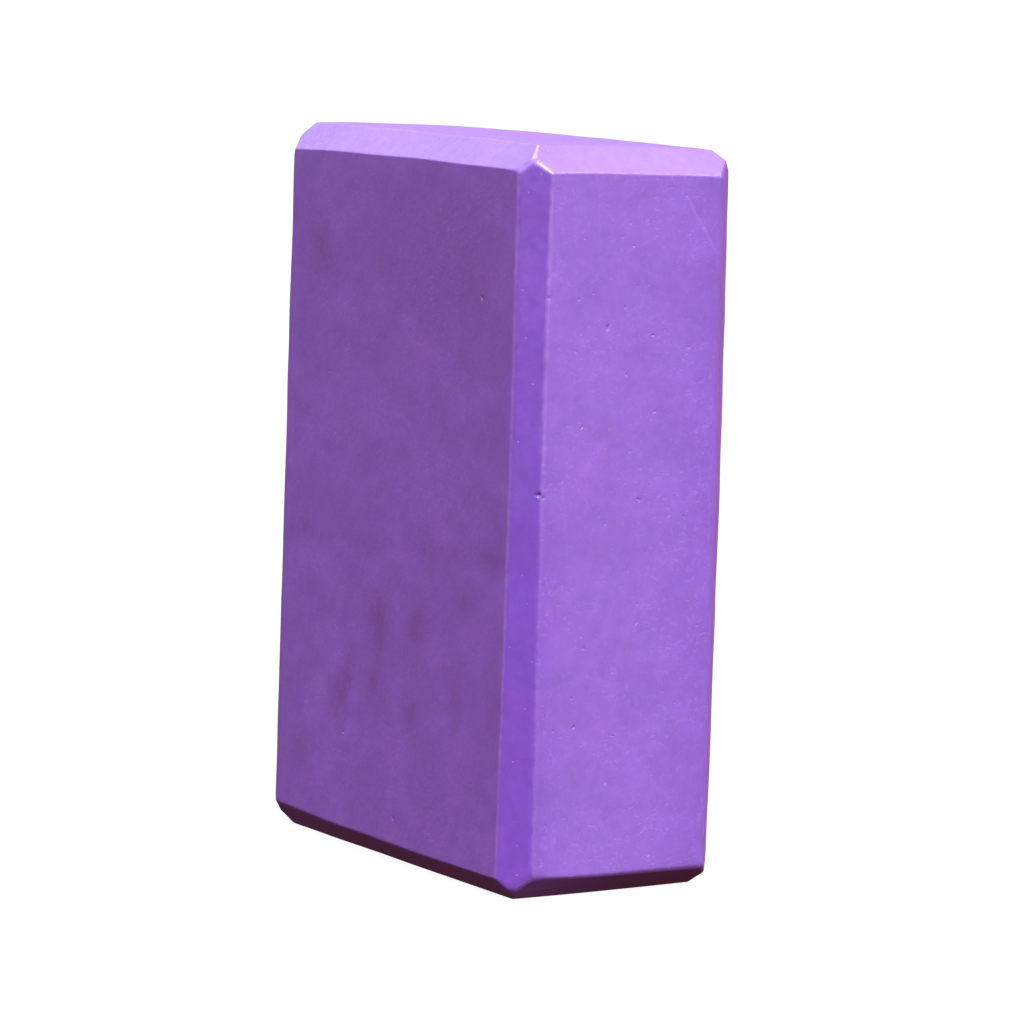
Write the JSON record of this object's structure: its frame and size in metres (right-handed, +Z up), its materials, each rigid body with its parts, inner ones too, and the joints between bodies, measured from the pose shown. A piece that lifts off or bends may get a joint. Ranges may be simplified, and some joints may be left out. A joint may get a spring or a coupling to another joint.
{
  "type": "yoga block",
  "caption": "Firm foam yoga block: a solid rectangular brick with bevelled edges and corners that rests on any face to bring the floor closer to a hand, seat or foot.",
  "frame": {"origin": "middle of the small end that the block stands on, on the floor", "axes": "+Z up along the block's length, X across the broad faces, Y through the thickness"},
  "size_m": [0.1524, 0.0762, 0.2286],
  "materials": {
    "foam": "matte"
  },
  "bodies": {
    "root": {"foam_block": "foam"}
  },
  "joints": []
}
